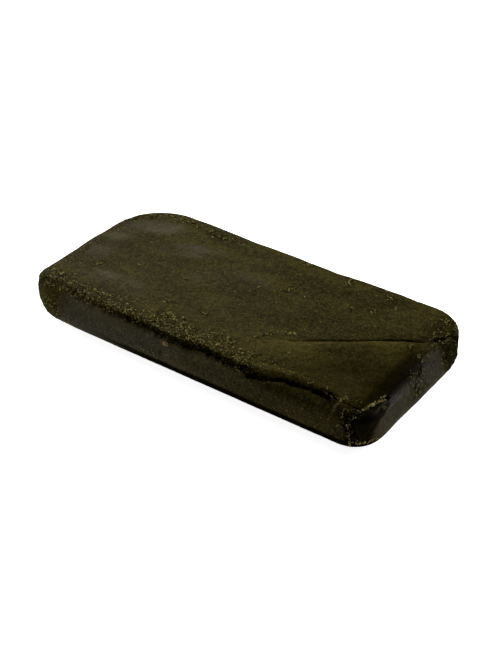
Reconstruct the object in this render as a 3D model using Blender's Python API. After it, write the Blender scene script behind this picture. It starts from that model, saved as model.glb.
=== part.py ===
"""A cake of pressed resin, folded up from kneaded sheet and pressed flat.

The cake lies on its underside. X runs along its length, Y from its front side to its rear side and Z up.
The origin is the middle of its footprint, on the surface it rests on.

The slab body carries two leaves: the top leaf behind a slanting crease, and in front of the crease the
end leaf, which is turned up over the right end and lapped over the top. A tuck closes the rest of the
right end and another the left front corner. A torn fragment and two large crumbs sit on the front edge.
"""

import math

import bmesh
import bpy
from mathutils import Vector

MM = 0.001

# Overall sizes.
LENGTH = 70.0 * MM
WIDTH = 34.7 * MM
THICKNESS = 7.8 * MM

# Corner radii, seen from above.
FRONT_LEFT_RADIUS = 5.0 * MM
FRONT_RIGHT_RADIUS = 5.7 * MM
REAR_RIGHT_RADIUS = 7.5 * MM
REAR_LEFT_RADIUS = 10.5 * MM
CORNER_STEPS = 9

# The front side leans back towards its left end: how far at the top left, and where the lean begins.
FRONT_LEAN = 3.0 * MM
LEAN_FROM_RIGHT = 30.0 * MM

# Rounded edges. The end leaf bends over the top edge in a wider curve than the cut edge of the top leaf.
TOP_EDGE_RADIUS = 0.8 * MM
BEND_RADIUS = 3.4 * MM
BOTTOM_EDGE_RADIUS = 2.4 * MM
EDGE_STEPS = 4

# Plies, and the gap left along every seam.
LEAF_THICKNESS = 1.0 * MM
END_WALL_THICKNESS = 2.0 * MM
SEAM_GAP = 0.3 * MM

# The lap starts at the front side, this far from the right end, and its crease runs to the tuck's corner.
LAP_LENGTH = 38.0 * MM

# Right end, from the front side to the rear: the end leaf, then the tuck, then the edge of the body.
END_WALL_WIDTH = 14.8 * MM
END_TUCK_WIDTH = 10.5 * MM
END_TUCK_DEPTH = 2.4 * MM

# The left front corner is cut off across these two lengths.
CORNER_TUCK_ALONG_FRONT = 7.0 * MM
CORNER_TUCK_ALONG_END = 8.0 * MM
CORNER_TUCK_FLOOR = 1.2 * MM

# The recess under the ragged lip of the top leaf.
LIP_RECESS_DEPTH = 1.0 * MM
LIP_RECESS_HEIGHT = 0.9 * MM

# The tear and the torn fragment in the right front corner.
END_TEAR_LENGTH = 6.9 * MM
FRAGMENT_LENGTH = 5.2 * MM
FRAGMENT_DEPTH = 1.6 * MM
FRAGMENT_HEIGHT = 2.4 * MM

# The two crumbs, as flat pebbles. One is caught under the lip, this far to the left of the lap's tip.
CRUMB_LENGTH = 1.2 * MM
CRUMB_DEPTH = 0.7 * MM
CRUMB_HEIGHT = 0.6 * MM
CRUMB_DETAIL = 2
LIP_CRUMB_FROM_LAP = 1.5 * MM

# Cutters reach this far past the cake.
BEYOND = 6.0 * MM

LEFT, RIGHT = -LENGTH / 2, LENGTH / 2
FRONT, REAR = -WIDTH / 2, WIDTH / 2
LEAN_START = RIGHT - LEAN_FROM_RIGHT
LEAF_UNDERSIDE = THICKNESS - LEAF_THICKNESS
BODY_TOP = LEAF_UNDERSIDE - SEAM_GAP
END_LEAF_INNER = RIGHT - END_WALL_THICKNESS
END_WALL_REAR = FRONT + END_WALL_WIDTH
TUCK_FRONT = END_WALL_REAR + SEAM_GAP
TUCK_REAR = TUCK_FRONT + END_TUCK_WIDTH
TUCK_INNER = RIGHT - END_TUCK_DEPTH
FRAGMENT_RIGHT = END_LEAF_INNER - SEAM_GAP
FRAGMENT_LEFT = FRAGMENT_RIGHT - FRAGMENT_LENGTH
FRAGMENT_LOW = THICKNESS - FRAGMENT_HEIGHT
LAP_TIP = Vector((RIGHT - LAP_LENGTH, FRONT))
CREASE_END = Vector((TUCK_INNER - SEAM_GAP / 2, TUCK_REAR + SEAM_GAP / 2))
ABOVE = THICKNESS + BEYOND
BELOW = -BEYOND
LIP_CRUMB_AT = Vector(
    (
        LAP_TIP.x - LIP_CRUMB_FROM_LAP,
        FRONT + LIP_RECESS_DEPTH - SEAM_GAP - CRUMB_DEPTH / 2,
        LEAF_UNDERSIDE - SEAM_GAP - CRUMB_HEIGHT / 2,
    )
)
CORNER_CRUMB_AT = Vector(
    (RIGHT - SEAM_GAP - CRUMB_DEPTH / 2, FRONT + END_TEAR_LENGTH, (BODY_TOP + LEAF_UNDERSIDE) / 2)
)


def clear_scene():
    for old in list(bpy.data.objects):
        bpy.data.objects.remove(old, do_unlink=True)


def finish(name, color, roughness):
    """A material with the colour and roughness of one sub-part."""
    material = bpy.data.materials.new(name)
    material.use_nodes = True
    shader = material.node_tree.nodes["Principled BSDF"]
    shader.inputs["Base Color"].default_value = (*color, 1.0)
    shader.inputs["Roughness"].default_value = roughness
    shader.inputs["Metallic"].default_value = 0.0
    material.diffuse_color = (*color, 1.0)
    return material


def make_object(name, builder):
    """A new object that takes over the mesh in the builder."""
    mesh = bpy.data.meshes.new(name)
    bmesh.ops.recalc_face_normals(builder, faces=builder.faces)
    builder.to_mesh(mesh)
    builder.free()
    made = bpy.data.objects.new(name, mesh)
    bpy.context.scene.collection.objects.link(made)
    return made


def round_edges(builder, edges, radius, steps):
    bmesh.ops.bevel(
        builder,
        geom=edges,
        offset=radius,
        segments=steps,
        profile=0.5,
        affect="EDGES",
        material=-1,
    )


def corner_edge(builder, x_side, y_side):
    """The upright edge at one corner of the block, before any corner is rounded there."""
    for edge in builder.edges:
        upright = abs(edge.verts[0].co.z - edge.verts[1].co.z) > THICKNESS / 2
        middle = (edge.verts[0].co + edge.verts[1].co) / 2
        if upright and abs(middle.x - x_side) < MM / 10 and abs(middle.y - y_side) < MM / 10:
            return edge
    raise ValueError("the block has no upright edge at that corner")


def edges_at_height(builder, height):
    return [
        edge
        for edge in builder.edges
        if all(abs(vertex.co.z - height) < MM / 10 for vertex in edge.verts)
    ]


def lean_front_side(builder):
    """Leans the front side back, from nothing where the lean starts to the full lean at the top left."""
    everything = builder.verts[:] + builder.edges[:] + builder.faces[:]
    bmesh.ops.bisect_plane(
        builder, geom=everything, plane_co=(LEAN_START, 0, 0), plane_no=(1, 0, 0), dist=1e-6
    )
    for vertex in builder.verts:
        leftness = max(0.0, (LEAN_START - vertex.co.x) / (LEAN_START - LEFT))
        frontness = max(0.0, -vertex.co.y / (WIDTH / 2))
        vertex.co.y += FRONT_LEAN * leftness * frontness * vertex.co.z / THICKNESS
    bmesh.ops.triangulate(builder, faces=builder.faces)


def whole_cake(name, top_radius):
    """The cake's outer form in one piece: every ply is cut from it, so that they meet flush."""
    builder = bmesh.new()
    bmesh.ops.create_cube(builder, size=1.0)
    bmesh.ops.scale(builder, vec=(LENGTH, WIDTH, THICKNESS), verts=builder.verts)
    bmesh.ops.translate(builder, vec=(0, 0, THICKNESS / 2), verts=builder.verts)
    corners = (
        (LEFT, FRONT, FRONT_LEFT_RADIUS),
        (RIGHT, FRONT, FRONT_RIGHT_RADIUS),
        (RIGHT, REAR, REAR_RIGHT_RADIUS),
        (LEFT, REAR, REAR_LEFT_RADIUS),
    )
    for x_side, y_side, radius in corners:
        round_edges(builder, [corner_edge(builder, x_side, y_side)], radius, CORNER_STEPS)
    round_edges(builder, edges_at_height(builder, THICKNESS), top_radius, EDGE_STEPS)
    round_edges(builder, edges_at_height(builder, 0.0), BOTTOM_EDGE_RADIUS, EDGE_STEPS)
    lean_front_side(builder)
    return make_object(name, builder)


def prism(name, outline, low, high):
    """A hidden cutter: an outline, given as points seen from above, raised from low to high."""
    builder = bmesh.new()
    base = builder.faces.new([builder.verts.new((x, y, low)) for x, y in outline])
    raised = bmesh.ops.extrude_face_region(builder, geom=[base])
    top_vertices = [item for item in raised["geom"] if isinstance(item, bmesh.types.BMVert)]
    bmesh.ops.translate(builder, vec=(0, 0, high - low), verts=top_vertices)
    cutter = make_object(name, builder)
    cutter.hide_render = True
    cutter.display_type = "WIRE"
    return cutter


def rectangle(x_low, y_low, x_high, y_high):
    return [(x_low, y_low), (x_high, y_low), (x_high, y_high), (x_low, y_high)]


def cut(target, operation, cutter):
    modifier = target.modifiers.new(cutter.name, "BOOLEAN")
    modifier.operation = operation
    modifier.solver = "EXACT"
    modifier.object = cutter


def complete(target, material):
    """Gives a sub-part its material and shades its round stretches smooth."""
    target.data.materials.append(material)
    target.data.shade_smooth()
    target.data.set_sharp_from_angle(angle=math.radians(35))


def behind_crease(clearance):
    """The outline of everything behind the crease, moved towards the rear by the clearance."""
    along = (CREASE_END - LAP_TIP).normalized()
    rearward = Vector((-along.y, along.x))
    start = LAP_TIP + rearward * clearance - along * BEYOND
    end_y = CREASE_END.y + clearance
    end = start + along * ((end_y - start.y) / along.y)
    return [
        tuple(start),
        tuple(end),
        (RIGHT + BEYOND, end_y),
        (RIGHT + BEYOND, REAR + BEYOND),
        (LEFT - BEYOND, REAR + BEYOND),
        (LEFT - BEYOND, start.y),
    ]


def left_corner(clearance):
    """The outline of the left front corner, its slanting side moved inwards by the clearance."""
    at_front = Vector((LEFT + CORNER_TUCK_ALONG_FRONT, FRONT))
    at_end = Vector((LEFT, FRONT + CORNER_TUCK_ALONG_END))
    along = (at_front - at_end).normalized()
    inward = Vector((-along.y, along.x)) * clearance
    return [
        tuple(at_front + inward + along * BEYOND),
        tuple(at_end + inward - along * BEYOND),
        (LEFT - 2 * BEYOND, FRONT - 2 * BEYOND),
    ]


def end_tuck_room():
    """Cuts the place of the rear end tuck out of its neighbours."""
    outline = rectangle(TUCK_INNER - SEAM_GAP, END_WALL_REAR, RIGHT + BEYOND, TUCK_REAR + SEAM_GAP)
    return prism("end_tuck_room", outline, BELOW, ABOVE)


def fragment_room():
    """Cuts the place of the corner fragment out of its neighbours."""
    outline = rectangle(
        FRAGMENT_LEFT - SEAM_GAP,
        FRONT - BEYOND,
        FRAGMENT_RIGHT + SEAM_GAP,
        FRONT + FRAGMENT_DEPTH + SEAM_GAP,
    )
    return prism("fragment_room", outline, FRAGMENT_LOW - SEAM_GAP, ABOVE)


def corner_crumb_room():
    """The hollow at the end of the tear, in which a crumb is caught."""
    reach = CRUMB_LENGTH / 2 + SEAM_GAP
    inner = CORNER_CRUMB_AT.x - CRUMB_DEPTH / 2 - SEAM_GAP
    outline = rectangle(
        inner, CORNER_CRUMB_AT.y - reach, RIGHT + BEYOND, CORNER_CRUMB_AT.y + reach
    )
    low = CORNER_CRUMB_AT.z - CRUMB_HEIGHT / 2 - SEAM_GAP
    high = CORNER_CRUMB_AT.z + CRUMB_HEIGHT / 2 + SEAM_GAP
    return prism("corner_crumb_room", outline, low, high)


def make_slab_body(tuck_room, torn_room):
    """The main ply, under both leaves. Its own edge shows along the front, the left end and the rear."""
    body = whole_cake("slab_body", TOP_EDGE_RADIUS)
    everywhere = rectangle(LEFT - BEYOND, FRONT - BEYOND, RIGHT + BEYOND, REAR + BEYOND)
    cut(body, "DIFFERENCE", prism("leaves_room", everywhere, BODY_TOP, ABOVE))
    end_wall = rectangle(END_LEAF_INNER - SEAM_GAP, FRONT - BEYOND, RIGHT + BEYOND, TUCK_FRONT)
    cut(body, "DIFFERENCE", prism("end_wall_room", end_wall, BELOW, ABOVE))
    cut(body, "DIFFERENCE", tuck_room)
    corner_low = CORNER_TUCK_FLOOR - SEAM_GAP
    cut(body, "DIFFERENCE", prism("left_corner_room", left_corner(SEAM_GAP), corner_low, ABOVE))
    cut(body, "DIFFERENCE", torn_room)
    recess = rectangle(LEFT, FRONT - BEYOND, FRAGMENT_LEFT, FRONT + LIP_RECESS_DEPTH)
    recess_low = BODY_TOP - LIP_RECESS_HEIGHT
    cut(body, "DIFFERENCE", prism("lip_recess", recess, recess_low, ABOVE))
    return body


def make_top_leaf():
    """The upper ply, behind the crease."""
    leaf = whole_cake("top_leaf", TOP_EDGE_RADIUS)
    outline = behind_crease(SEAM_GAP / 2)
    cut(leaf, "INTERSECT", prism("top_leaf_outline", outline, LEAF_UNDERSIDE, ABOVE))
    return leaf


def make_end_leaf(tuck_room, torn_room):
    """The ply that is turned up over the right end and lapped over the top, up to the crease."""
    leaf = whole_cake("end_leaf", BEND_RADIUS)
    top_leaf_room = prism("top_leaf_room", behind_crease(-SEAM_GAP / 2), BELOW, ABOVE)
    cut(leaf, "DIFFERENCE", top_leaf_room)
    body = rectangle(LEFT - BEYOND, FRONT - BEYOND, END_LEAF_INNER, REAR + BEYOND)
    cut(leaf, "DIFFERENCE", prism("body_room", body, BELOW, LEAF_UNDERSIDE))
    cut(leaf, "DIFFERENCE", tuck_room)
    cut(leaf, "DIFFERENCE", torn_room)
    tear = rectangle(FRAGMENT_RIGHT, FRONT - BEYOND, RIGHT + BEYOND, FRONT + END_TEAR_LENGTH)
    cut(leaf, "DIFFERENCE", prism("end_tear", tear, BODY_TOP, LEAF_UNDERSIDE))
    cut(leaf, "DIFFERENCE", corner_crumb_room())
    return leaf


def make_rear_end_tuck():
    """The piece that closes the right end between the end leaf and the body's own edge."""
    tuck = whole_cake("rear_end_tuck", TOP_EDGE_RADIUS)
    outline = rectangle(TUCK_INNER, TUCK_FRONT, RIGHT + BEYOND, TUCK_REAR)
    cut(tuck, "INTERSECT", prism("rear_end_tuck_outline", outline, BELOW, ABOVE))
    return tuck


def make_left_corner_tuck():
    """The piece in the left front corner, under the top leaf."""
    tuck = whole_cake("left_corner_tuck", TOP_EDGE_RADIUS)
    outline = left_corner(0.0)
    cut(tuck, "INTERSECT", prism("corner_tuck_outline", outline, CORNER_TUCK_FLOOR, BODY_TOP))
    return tuck


def make_corner_fragment():
    """The torn piece on the front edge, next to the tear in the right front corner."""
    fragment = whole_cake("corner_fragment", BEND_RADIUS)
    outline = rectangle(FRAGMENT_LEFT, FRONT - BEYOND, FRAGMENT_RIGHT, FRONT + FRAGMENT_DEPTH)
    cut(fragment, "INTERSECT", prism("corner_fragment_outline", outline, FRAGMENT_LOW, ABOVE))
    return fragment


def make_crumb(name, center, size):
    builder = bmesh.new()
    bmesh.ops.create_icosphere(builder, subdivisions=CRUMB_DETAIL, radius=0.5)
    bmesh.ops.scale(builder, vec=size, verts=builder.verts)
    bmesh.ops.translate(builder, vec=center, verts=builder.verts)
    return make_object(name, builder)


def main():
    clear_scene()
    polished = finish("polished_resin", (0.030, 0.025, 0.012), 0.42)
    crust = finish("crusted_resin", (0.038, 0.031, 0.011), 0.55)
    torn = finish("torn_resin", (0.060, 0.048, 0.014), 0.80)
    crumb = finish("yellow_crumb", (0.160, 0.130, 0.050), 0.75)
    tuck_room, torn_room = end_tuck_room(), fragment_room()
    complete(make_slab_body(tuck_room, torn_room), polished)
    complete(make_top_leaf(), crust)
    complete(make_end_leaf(tuck_room, torn_room), polished)
    complete(make_rear_end_tuck(), crust)
    complete(make_left_corner_tuck(), torn)
    complete(make_corner_fragment(), torn)
    along_front = (CRUMB_LENGTH, CRUMB_DEPTH, CRUMB_HEIGHT)
    complete(make_crumb("lip_crumb", LIP_CRUMB_AT, along_front), crumb)
    along_end = (CRUMB_DEPTH, CRUMB_LENGTH, CRUMB_HEIGHT)
    complete(make_crumb("corner_crumb", CORNER_CRUMB_AT, along_end), crumb)


main()
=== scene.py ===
# %% [markdown]
# # A cake of pressed resin
# This lesson gives looks to a plain set of solids. The solids are the plies of a resin cake:
# sheet that was kneaded, folded and pressed flat by hand. They carry the sizes, so they are
# loaded first and never changed. What is made here is the skin that a hand would feel: soft
# waves, a ragged lip, cracks and crumbs.

import math
import random

import bmesh
import bpy
import numpy as np
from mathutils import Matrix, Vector, noise
from mathutils.bvhtree import BVHTree


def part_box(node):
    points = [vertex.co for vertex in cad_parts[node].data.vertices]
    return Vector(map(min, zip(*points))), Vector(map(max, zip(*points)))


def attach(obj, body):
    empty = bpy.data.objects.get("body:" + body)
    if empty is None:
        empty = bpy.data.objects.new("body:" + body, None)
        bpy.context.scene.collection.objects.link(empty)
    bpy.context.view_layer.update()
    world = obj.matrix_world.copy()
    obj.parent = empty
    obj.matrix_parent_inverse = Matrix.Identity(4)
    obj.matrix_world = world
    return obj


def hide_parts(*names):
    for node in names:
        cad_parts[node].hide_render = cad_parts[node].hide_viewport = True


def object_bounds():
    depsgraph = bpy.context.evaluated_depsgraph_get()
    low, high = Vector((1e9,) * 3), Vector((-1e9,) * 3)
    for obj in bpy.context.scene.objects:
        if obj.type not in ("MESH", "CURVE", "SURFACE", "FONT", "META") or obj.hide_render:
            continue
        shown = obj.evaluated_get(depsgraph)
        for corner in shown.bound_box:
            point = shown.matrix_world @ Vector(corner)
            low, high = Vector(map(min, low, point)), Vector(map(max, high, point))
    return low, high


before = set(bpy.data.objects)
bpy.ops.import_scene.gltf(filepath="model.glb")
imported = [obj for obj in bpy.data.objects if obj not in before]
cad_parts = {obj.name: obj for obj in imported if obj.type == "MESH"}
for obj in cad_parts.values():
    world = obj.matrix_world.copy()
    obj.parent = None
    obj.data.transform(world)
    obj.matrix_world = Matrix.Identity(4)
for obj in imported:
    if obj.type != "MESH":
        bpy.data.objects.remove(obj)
solid_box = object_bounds()
LEFT, FRONT, FLOOR = 1000 * np.array(solid_box[0])
RIGHT, REAR, TOP = 1000 * np.array(solid_box[1])
print(f"the cake is {RIGHT - LEFT:.1f} x {REAR - FRONT:.1f} x {TOP - FLOOR:.1f} mm")

# %% [markdown]
# ## Where to stand
# A small thing on a table is looked at from about two of its own lengths away and from well
# above. The camera circles the middle of the cake: an azimuth turns it round, an elevation lifts
# it. A long lens keeps the near corner from looking too large, and a small shift of the sensor
# sets the cake in the frame.

# %% Camera
MM = 0.001
AZIMUTH, ELEVATION = math.radians(35.72), math.radians(34.13)
DISTANCE = 230.7 * MM
LENS, SENSOR = 74, 36
SHIFT_X, SHIFT_Y = 0.0070, -0.0109


def outwards(azimuth, elevation):
    """The direction from the cake towards an azimuth (0 is in front of it) and an elevation."""
    flat = math.cos(elevation)
    return Vector((flat * math.sin(azimuth), -flat * math.cos(azimuth), math.sin(elevation)))


middle = Vector((0, 0, TOP * MM / 2))
camera = bpy.data.objects.new("camera", bpy.data.cameras.new("camera"))
bpy.context.scene.collection.objects.link(camera)
camera.location = middle + outwards(AZIMUTH, ELEVATION) * DISTANCE
camera.rotation_euler = (-outwards(AZIMUTH, ELEVATION)).to_track_quat("-Z", "Y").to_euler()
camera.data.lens, camera.data.sensor_width = LENS, SENSOR
camera.data.shift_x, camera.data.shift_y = SHIFT_X, SHIFT_Y
camera.data.clip_start = 0.01
bpy.context.scene.camera = camera
print("the camera stands at", [round(1000 * v) for v in camera.location], "mm")

# %% [markdown]
# ## Paint recipes
# Every finish here is procedural: a few patterns, mixed. Shader maths reads best as ordinary
# sums, so one small class wraps a socket and turns `a * b + c` into Math nodes. Any other node
# comes from its `node` method.


# %% A socket that can be calculated with
class Flow:
    """One value on its way through a material."""

    def __init__(self, tree, socket=None):
        self.tree, self.socket = tree, socket

    def node(self, kind, settings=None, inputs=None, output=0):
        """Adds any node: its settings first, then its inputs, which are values or Flows."""
        made = self.tree.nodes.new(kind)
        for name, value in (settings or {}).items():
            setattr(made, name, value)
        for name, value in (inputs or {}).items():
            if isinstance(value, Flow):
                self.tree.links.new(value.socket, made.inputs[name])
            else:
                made.inputs[name].default_value = value
        return Flow(self.tree, made.outputs[output])

    def math(self, operation, *values):
        return self.node("ShaderNodeMath", {"operation": operation}, dict(enumerate(values)))

    def __add__(self, other):
        return self.math("ADD", self, other)

    def __sub__(self, other):
        return self.math("SUBTRACT", self, other)

    def __rsub__(self, other):
        return self.math("SUBTRACT", other, self)

    def __mul__(self, other):
        return self.math("MULTIPLY", self, other)

    __radd__, __rmul__ = __add__, __mul__

    def ramp(self, low, high):
        """0 below low, 1 above high, and a soft rise between."""
        return self.node(
            "ShaderNodeMapRange",
            {"interpolation_type": "SMOOTHSTEP", "clamp": True},
            {"Value": self, "From Min": low, "From Max": high},
        )

    def mix(self, first, second):
        """A colour: first where this value is 0, second where it is 1."""
        settings = {"data_type": "RGBA", "clamp_factor": True}
        return self.node("ShaderNodeMix", settings, {0: self, 6: first, 7: second}, output=2)


print("a Flow adds, subtracts and multiplies sockets")

# %% [markdown]
# ## Table and light
# The cake lies on a lit white table, so the table itself is the brightest thing. The main lamp is
# a large soft panel, low down behind the left end; a weaker one stands behind the cake and two
# faint ones between them. Light that low skims over the top: every crumb and rim that faces it
# shines, and every slope that turns away goes nearly black, which is what shows the relief of so
# dark a thing.

# %% Table and light
PANEL_SIZE, PANEL_DISTANCE = 0.5, 0.9
PANELS = {  # azimuth and elevation in degrees, power in watts
    "left_panel": (255, 17, 19.5),
    "rear_panel": (150, 17, 7.0),
    "sheen_panel": (230, 32, 1.6),
    "front_panel": (285, 17, 1.5),
}
TABLE_GLOW = 0.9
ROOM_LIGHT = 0.04


def new_object(name, form):
    """Turns a finished form into an object of the scene."""
    thing = bpy.data.objects.new(name, bpy.data.meshes.new(name))
    form.to_mesh(thing.data)
    form.free()
    bpy.context.scene.collection.objects.link(thing)
    return thing


floor_form = bmesh.new()
bmesh.ops.create_grid(floor_form, x_segments=1, y_segments=1, size=3.0)
floor = new_object("floor", floor_form)


def new_material(name):
    """A material with an empty Principled BSDF, and a Flow that can add nodes to it."""
    material = bpy.data.materials.new(name)
    material.use_nodes = True
    return material, material.node_tree.nodes["Principled BSDF"], Flow(material.node_tree)


white, shader, flow = new_material("white_table")
cloudy = flow.node("ShaderNodeTexNoise", {}, {"Scale": 3.0, "Detail": 2.0})
tone = cloudy.ramp(0.2, 0.8).mix((0.88, 0.88, 0.88, 1), (0.92, 0.92, 0.92, 1))
white.node_tree.links.new(tone.socket, shader.inputs["Base Color"])
shader.inputs["Roughness"].default_value = 0.9
shader.inputs["Specular IOR Level"].default_value = 0.0
shader.inputs["Emission Color"].default_value = (1, 1, 1, 1)
shader.inputs["Emission Strength"].default_value = TABLE_GLOW
floor.data.materials.append(white)

world = bpy.data.worlds.new("studio")
world.use_nodes = True
background = world.node_tree.nodes["Background"]
background.inputs["Color"].default_value = (1, 1, 1, 1)
background.inputs["Strength"].default_value = ROOM_LIGHT
bpy.context.scene.world = world
bpy.context.scene.view_settings.view_transform = "Standard"


def soft_panel(name, azimuth, elevation, power):
    """A square lamp that looks at the cake from an azimuth and an elevation in degrees."""
    lamp = bpy.data.lights.new(name, "AREA")
    lamp.size, lamp.energy = PANEL_SIZE, power
    panel = bpy.data.objects.new(name, lamp)
    direction = outwards(math.radians(azimuth), math.radians(elevation))
    panel.location = middle + direction * PANEL_DISTANCE
    panel.rotation_euler = (-direction).to_track_quat("-Z", "Y").to_euler()
    bpy.context.scene.collection.objects.link(panel)


for name, (azimuth, elevation, power) in PANELS.items():
    soft_panel(name, azimuth, elevation, power)
print("a white table and", len(PANELS), "soft panels")

# %% [markdown]
# ## Tools for the hand
# The cake is modelled as a hand would: start from a plain block, then press, lean, groove and
# crumble it. Each tool takes the points of the mesh in millimetres and moves them. `ramp` is a
# soft switch, `curve` reads a drawn line, and `rough` is a bumpy pattern of a given size.


# %% Tools
def ramp(value, start, end):
    """0 before the start, 1 past the end, and a soft rise between."""
    t = np.clip((value - start) / (end - start), 0.0, 1.0)
    return t * t * (3.0 - 2.0 * t)


def curve(value, stops, blur=1.2):
    """Reads a line drawn through (place, value) stops, with its corners rounded off."""
    places, values = zip(*stops)
    shifts = (-blur, -blur / 2, 0.0, blur / 2, blur)
    return np.mean([np.interp(value + shift, places, values) for shift in shifts], axis=0)


def rough(points, size, seed, octaves=1, stretch=(1.0, 1.0, 1.0)):
    """A bumpy pattern from about -1 to 1, whose bumps are as large as size."""
    scaled = points / (size * np.array(stretch)) + seed * np.array((7.31, 3.17, 5.73))
    return np.array([noise.fractal(p, 1.0, 2.0, octaves) for p in scaled.tolist()])


def get_points(mesh):
    flat = np.empty(3 * len(mesh.vertices), np.float32)
    mesh.vertices.foreach_get("co", flat)
    return flat.reshape(-1, 3).astype(float) * 1000


def set_points(mesh, points):
    mesh.vertices.foreach_set("co", (points * MM).astype(np.float32).ravel())
    mesh.update()


def get_normals(mesh):
    flat = np.empty(3 * len(mesh.vertices), np.float32)
    mesh.vertex_normals.foreach_get("vector", flat)
    return flat.reshape(-1, 3).astype(float)


print("tools: ramp, curve, rough")

# %% [markdown]
# ## The pressed block
# The four corners of the footprint have different radii, because each was rounded by hand. A
# bevel on each upright edge gives the footprint, and one along the bottom the curve on which the
# cake rocks a little. A voxel remesh then lays an even net of small squares over the block, like
# fresh clay.

# %% The pressed block
CORNER_RADII = {(LEFT, FRONT): 5.0, (RIGHT, FRONT): 5.7, (RIGHT, REAR): 7.5, (LEFT, REAR): 10.5}
CORNER_STEPS = 10
BOTTOM_RADIUS, BOTTOM_STEPS = 3.3, 6
FIRST_NET, SECOND_NET = 0.30, 0.21


def bevel(form, edges, radius, steps):
    bmesh.ops.bevel(
        form,
        geom=edges,
        offset=radius,
        segments=steps,
        profile=0.5,
        affect="EDGES",
        material=-1,
    )


def block():
    form = bmesh.new()
    bmesh.ops.create_cube(form, size=1.0)
    bmesh.ops.scale(form, vec=(RIGHT - LEFT, REAR - FRONT, TOP - FLOOR), verts=form.verts)
    bmesh.ops.translate(form, vec=(0, 0, (TOP + FLOOR) / 2), verts=form.verts)
    for (x, y), radius in CORNER_RADII.items():
        upright = [
            edge
            for edge in form.edges
            if all((vert.co.xy - Vector((x, y))).length < 0.1 for vert in edge.verts)
        ]
        bevel(form, upright, radius, CORNER_STEPS)
    bottom = [e for e in form.edges if all(abs(v.co.z - FLOOR) < 0.1 for v in e.verts)]
    bevel(form, bottom, BOTTOM_RADIUS, BOTTOM_STEPS)
    bmesh.ops.scale(form, vec=(MM, MM, MM), verts=form.verts)
    return new_object("cake", form)


def remesh(thing, size):
    """Lays an even net of squares over the form."""
    net = thing.modifiers.new("net", "REMESH")
    net.mode, net.voxel_size = "VOXEL", size * MM
    graph = bpy.context.evaluated_depsgraph_get()
    fresh = bpy.data.meshes.new_from_object(thing.evaluated_get(graph))
    thing.modifiers.clear()
    thing.data = fresh
    return len(fresh.polygons)


cake = block()
print("first net:", remesh(cake, FIRST_NET), "squares")

# %% [markdown]
# ## Pressing the block out of square
# A press and a pair of hands never leave a true box: sides lean, hollows form and edges roll
# over. To press the block, each point has to know how far it lies inside the outline of the
# footprint and which way is outwards there. The outline is a rectangle with four round corners,
# so both follow from its two sides.


# %% Distances from the outline
def outline_distance(points):
    """How far each point lies inside the footprint, and the outward direction there."""
    x, y = points[:, 0], points[:, 1]
    radius = np.zeros(len(points))
    for (corner_x, corner_y), corner_radius in CORNER_RADII.items():
        here = (np.sign(x) == np.sign(corner_x)) & (np.sign(y) == np.sign(corner_y))
        radius[here] = corner_radius
    qx, qy = np.abs(x) - RIGHT + radius, np.abs(y) - REAR + radius
    outside = np.hypot(np.maximum(qx, 0), np.maximum(qy, 0))
    inside = radius - np.minimum(np.maximum(qx, qy), 0) - outside
    corner = (qx > 0) & (qy > 0)
    nx = np.where(corner, qx / np.maximum(outside, 1e-6), (qx >= qy).astype(float))
    ny = np.where(corner, qy / np.maximum(outside, 1e-6), (qx < qy).astype(float))
    return inside, nx * np.sign(x), ny * np.sign(y)


print("the middle of the cake lies", outline_distance(np.zeros((1, 3)))[0].round(1)[0], "mm inside")

# %% [markdown]
# ## Rolling the top edge over
# The top edge of the sheet is crisp where it was cut and wide where it was folded: along the
# right half of the front side the lap bends down in a broad curve. A roll-over is like a bevel
# whose radius changes along the way. It turns the square corner of the section into a quarter
# circle.


# %% Roll the top edge over
def edge_radius(points):
    """How widely the top edge is rolled over: a wide bend in the right front, crisp elsewhere."""
    x, y = points[:, 0], points[:, 1]
    front = curve(x, [(LEFT, 0.5), (8, 0.5), (14, 2.2), (18, 3.2), (RIGHT, 3.2)])
    end = curve(y, [(FRONT, 1.6), (-11, 0.5), (8, 0.4), (10, 1.2), (13, 0.8)])
    left_side = np.where(y > -12.5, 0.7, front)
    sides = np.where(x < -30, left_side, np.where(y > 0, 0.7, front))
    return np.where(x > 28, end, sides)


def roll_over(points):
    inside, nx, ny = outline_distance(points)
    radius = edge_radius(points)
    u = (radius - inside) / radius
    w = (points[:, 2] - TOP + radius) / radius
    rolled = (u > 0) & (w > 0)
    factor = np.where(rolled, np.maximum(u, w) / np.maximum(np.hypot(u, w), 1e-6), 1.0)
    shift = radius * (u - u * factor) * rolled
    points[:, 0] -= nx * shift
    points[:, 1] -= ny * shift
    points[:, 2] = np.where(rolled, TOP - radius + w * factor * radius, points[:, 2])


points = get_points(cake.data)
roll_over(points)
print("rolled the top edge of", len(points), "points")

# %% [markdown]
# ## Leaning the sides
# The front side leans back, most at the left end and again where the lip recedes. The right end
# slopes, and the rear side is a little hollow. Each lean is drawn as a line of (place, lean)
# stops along its side and grows with the height, so the footprint stays as it is.

# %% Lean the sides
FRONT_LEAN = [
    (LEFT, 3.3), (-30, 3.0), (-25, 2.4), (-18, 2.0), (-10, 2.0), (-3, 1.5), (1.5, 2.5), (6, 2.2),
    (10, 1.5), (16, 1.4), (RIGHT, 1.2),
]
REAR_HOLLOW = [(-20, 0), (-8, 0.2), (3, 0.5), (14, 0.5), (28, 0)]
END_LEAN = [(FRONT, 0.6), (-12, 1.5), (-6, 1.8), (3, 2.1), (8, 1.6), (11, 0.4), (REAR, 0.0)]


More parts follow.
